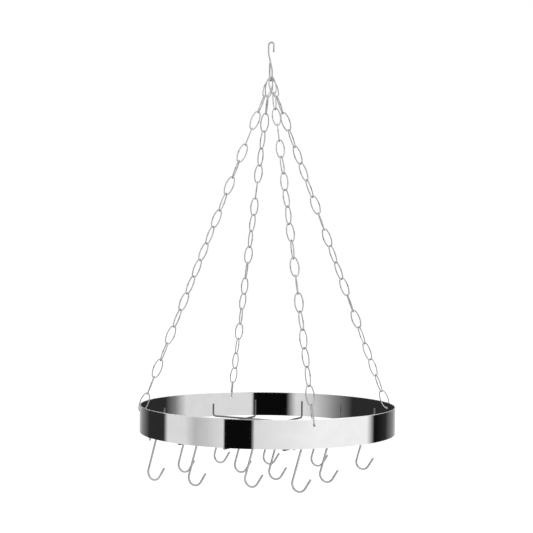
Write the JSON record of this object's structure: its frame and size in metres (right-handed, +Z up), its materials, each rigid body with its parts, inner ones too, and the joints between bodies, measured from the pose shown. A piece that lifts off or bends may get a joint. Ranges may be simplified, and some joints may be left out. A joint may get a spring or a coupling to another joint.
{
  "type": "hanging pot rack",
  "caption": "Round hanging pot rack: a polished steel band on chains gathered to one top hook, with a wire grid that carries swinging S-hooks.",
  "frame": {"origin": "the seat inside the top hook's crook, where it rests on the ceiling hook", "axes": "+Z up, X across the four long grid rods, Y along them"},
  "size_m": [0.4, 0.4, 0.6781],
  "materials": {
    "band_steel": "mirror-polished stainless steel strip",
    "rod_steel": "bright plated steel wire",
    "chain_steel": "bright plated welded chain",
    "hook_steel": "bright plated bent wire",
    "top_hook_steel": "bright plated bent wire"
  },
  "bodies": {
    "top_hook": {"top_hook": "top_hook_steel"},
    "rack": {"band": "band_steel", "rod_1": "rod_steel", "rod_2": "rod_steel", "rod_3": "rod_steel", "rod_4": "rod_steel", "cross_rod_front": "rod_steel", "cross_rod_middle": "rod_steel", "cross_rod_back": "rod_steel", "chain_back_right_top_link": "chain_steel", "chain_back_right_links": "chain_steel", "chain_back_right_bottom_link": "chain_steel", "chain_back_left_top_link": "chain_steel", "chain_back_left_links": "chain_steel", "chain_back_left_bottom_link": "chain_steel", "chain_front_left_top_link": "chain_steel", "chain_front_left_links": "chain_steel", "chain_front_left_bottom_link": "chain_steel", "chain_front_right_top_link": "chain_steel", "chain_front_right_links": "chain_steel", "chain_front_right_bottom_link": "chain_steel"},
    "s_hook_1a": {"s_hook_1a": "hook_steel"},
    "s_hook_1b": {"s_hook_1b": "hook_steel"},
    "s_hook_1c": {"s_hook_1c": "hook_steel"},
    "s_hook_2a": {"s_hook_2a": "hook_steel"},
    "s_hook_2b": {"s_hook_2b": "hook_steel"},
    "s_hook_2c": {"s_hook_2c": "hook_steel"},
    "s_hook_3a": {"s_hook_3a": "hook_steel"},
    "s_hook_3b": {"s_hook_3b": "hook_steel"},
    "s_hook_3c": {"s_hook_3c": "hook_steel"},
    "s_hook_4a": {"s_hook_4a": "hook_steel"},
    "s_hook_4b": {"s_hook_4b": "hook_steel"},
    "s_hook_4c": {"s_hook_4c": "hook_steel"}
  },
  "joints": [
    {"name": "rack_swing", "type": "hinge", "parent": "top_hook", "child": "rack", "pos_m": [0, 0, -0.0573], "axis": [-0.7431, 0.6691, 0], "range_deg": [-25, 25]},
    {"name": "s_hook_1a_swing", "type": "hinge", "parent": "rack", "child": "s_hook_1a", "pos_m": [-0.114, -0.1454, -0.6089], "axis": [0, -1, 0], "range_deg": [-40, 60]},
    {"name": "s_hook_1b_swing", "type": "hinge", "parent": "rack", "child": "s_hook_1b", "pos_m": [-0.114, -0.0641, -0.6089], "axis": [0, -1, 0], "range_deg": [-40, 60]},
    {"name": "s_hook_1c_swing", "type": "hinge", "parent": "rack", "child": "s_hook_1c", "pos_m": [-0.114, 0.0422, -0.6089], "axis": [0, -1, 0], "range_deg": [-40, 60]},
    {"name": "s_hook_2a_swing", "type": "hinge", "parent": "rack", "child": "s_hook_2a", "pos_m": [-0.038, -0.1492, -0.6089], "axis": [0, -1, 0], "range_deg": [-40, 60]},
    {"name": "s_hook_2b_swing", "type": "hinge", "parent": "rack", "child": "s_hook_2b", "pos_m": [-0.038, -0.0177, -0.6089], "axis": [0, -1, 0], "range_deg": [-40, 60]},
    {"name": "s_hook_2c_swing", "type": "hinge", "parent": "rack", "child": "s_hook_2c", "pos_m": [-0.038, 0.0749, -0.6089], "axis": [0, -1, 0], "range_deg": [-40, 60]},
    {"name": "s_hook_3a_swing", "type": "hinge", "parent": "rack", "child": "s_hook_3a", "pos_m": [0.038, -0.1151, -0.6089], "axis": [0, -1, 0], "range_deg": [-40, 60]},
    {"name": "s_hook_3b_swing", "type": "hinge", "parent": "rack", "child": "s_hook_3b", "pos_m": [0.038, -0.0423, -0.6089], "axis": [0, -1, 0], "range_deg": [-40, 60]},
    {"name": "s_hook_3c_swing", "type": "hinge", "parent": "rack", "child": "s_hook_3c", "pos_m": [0.038, 0.1014, -0.6089], "axis": [0, -1, 0], "range_deg": [-40, 60]},
    {"name": "s_hook_4a_swing", "type": "hinge", "parent": "rack", "child": "s_hook_4a", "pos_m": [0.114, -0.1113, -0.6089], "axis": [0, -1, 0], "range_deg": [-40, 60]},
    {"name": "s_hook_4b_swing", "type": "hinge", "parent": "rack", "child": "s_hook_4b", "pos_m": [0.114, -0.0211, -0.6089], "axis": [0, -1, 0], "range_deg": [-40, 60]},
    {"name": "s_hook_4c_swing", "type": "hinge", "parent": "rack", "child": "s_hook_4c", "pos_m": [0.114, 0.1126, -0.6089], "axis": [0, -1, 0], "range_deg": [-40, 60]}
  ]
}
